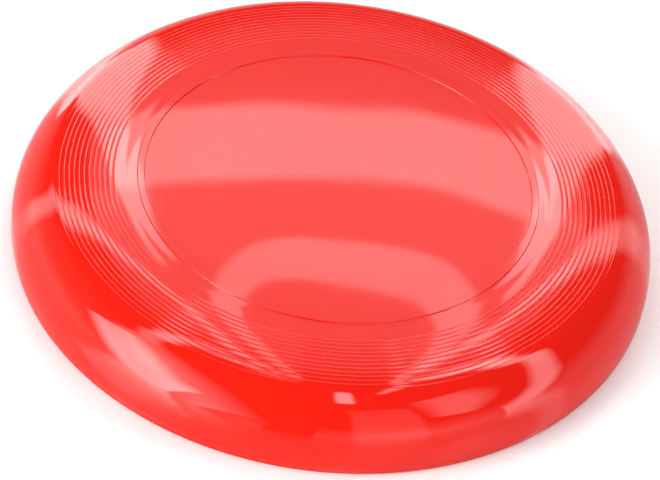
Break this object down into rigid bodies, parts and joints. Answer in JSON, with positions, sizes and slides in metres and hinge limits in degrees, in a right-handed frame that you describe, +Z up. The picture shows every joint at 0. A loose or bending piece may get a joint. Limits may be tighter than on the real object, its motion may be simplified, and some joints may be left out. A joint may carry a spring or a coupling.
{
  "type": "flying disc",
  "caption": "Round throwing disc moulded in glossy red plastic: crowned top with a raised ring and fine concentric grip ribs, full round rim, hollow underneath.",
  "frame": {"origin": "on the disc's axis, in the plane of the bottom edge that the disc rests on", "axes": "+Z up along the axis of revolution, from the resting edge to the crown; +X and +Y are free choices on a round part"},
  "size_m": [0.23, 0.23, 0.0323],
  "materials": {
    "plastic": "glossy moulded thermoplastic, slightly translucent red"
  },
  "bodies": {
    "root": {"disc_shell": "plastic"}
  },
  "joints": []
}
